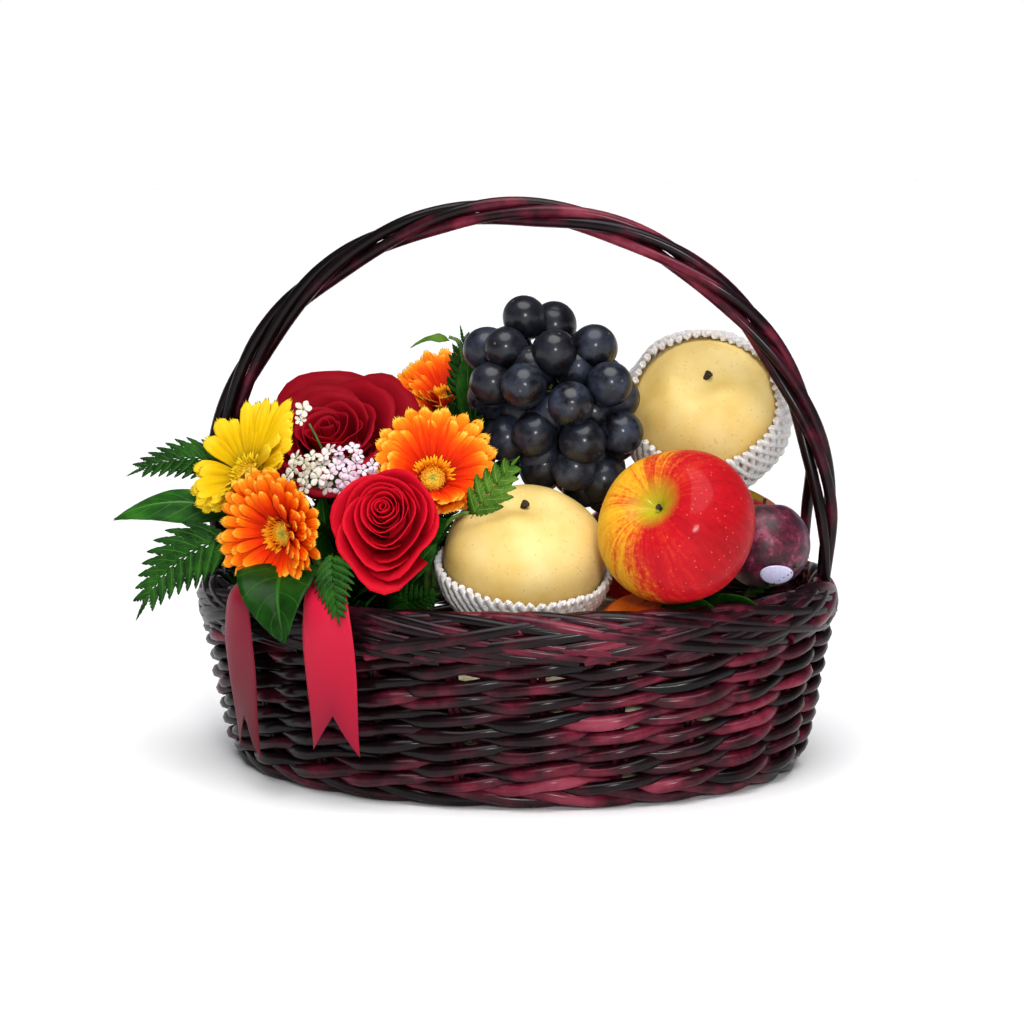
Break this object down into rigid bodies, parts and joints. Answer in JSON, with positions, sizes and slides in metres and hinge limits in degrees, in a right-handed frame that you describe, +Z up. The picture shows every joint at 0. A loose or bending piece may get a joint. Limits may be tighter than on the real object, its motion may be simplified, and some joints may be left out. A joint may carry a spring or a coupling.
{
  "type": "fruit and flower basket",
  "caption": "Oval dark willow gift basket with a twisted arched handle, filled with pears in foam nets, apples, grapes, a plum, roses, gerberas, ferns and red ribbons.",
  "frame": {"origin": "middle of the basket's base, on the surface it stands on", "axes": "+X along the long axis of the oval, in the plane of the handle; -Y is the front; +Z up"},
  "size_m": [0.4067, 0.2672, 0.3221],
  "materials": {
    "lacquered_willow": "peeled willow rods stained near black and burgundy under glossy lacquer",
    "pear_skin": "smooth pale yellow skin with fine tan freckles",
    "foam_net": "white expanded foam netting",
    "apple_skin": "waxy red skin streaked over yellow",
    "plum_skin": "dark purple skin with a pale bloom",
    "fruit_sticker": "plain pale lavender film label",
    "orange_peel": "dimpled orange peel",
    "grape_skin": "blue black skin with a dusty bloom",
    "rose_petal": "velvety deep red petals",
    "orange_gerbera_petal": "orange petals, redder at the base",
    "yellow_gerbera_petal": "bright yellow petals",
    "white_floret": "tiny cream and pale pink flowers",
    "leaf": "glossy green leaf",
    "fern": "matt dark green fern",
    "tissue_paper": "crumpled pale tissue paper",
    "satin_ribbon": "crimson satin ribbon"
  },
  "bodies": {
    "root": {"apple_front": "apple_skin", "apple_left_back": "apple_skin", "apple_middle": "apple_skin", "apple_right_back": "apple_skin", "basket_base": "lacquered_willow", "basket_wall": "lacquered_willow", "fern_back_top": "fern", "fern_front": "fern", "fern_left_lower": "fern", "fern_left_upper": "fern", "fern_middle": "fern", "floret_cluster": "white_floret", "floret_single": "white_floret", "foam_net_front": "foam_net", "foam_net_top": "foam_net", "gerbera_orange_back": "orange_gerbera_petal", "gerbera_orange_left": "orange_gerbera_petal", "gerbera_orange_right": "orange_gerbera_petal", "gerbera_yellow": "yellow_gerbera_petal", "grape_bunch": "grape_skin", "greenery_bed": "fern", "handle_rod_1": "lacquered_willow", "handle_rod_2": "lacquered_willow", "handle_rod_3": "lacquered_willow", "handle_rod_4": "lacquered_willow", "leaf_back_top": "leaf", "leaf_heart": "leaf", "leaf_left_lance": "leaf", "orange_back": "orange_peel", "orange_front": "orange_peel", "packing_tissue": "tissue_paper", "pear_front": "pear_skin", "pear_top": "pear_skin", "plum": "plum_skin", "plum_sticker": "fruit_sticker", "ribbon_front": "satin_ribbon", "ribbon_left": "satin_ribbon", "rim_border": "lacquered_willow", "rose_back": "rose_petal", "rose_front": "rose_petal"}
  },
  "joints": []
}
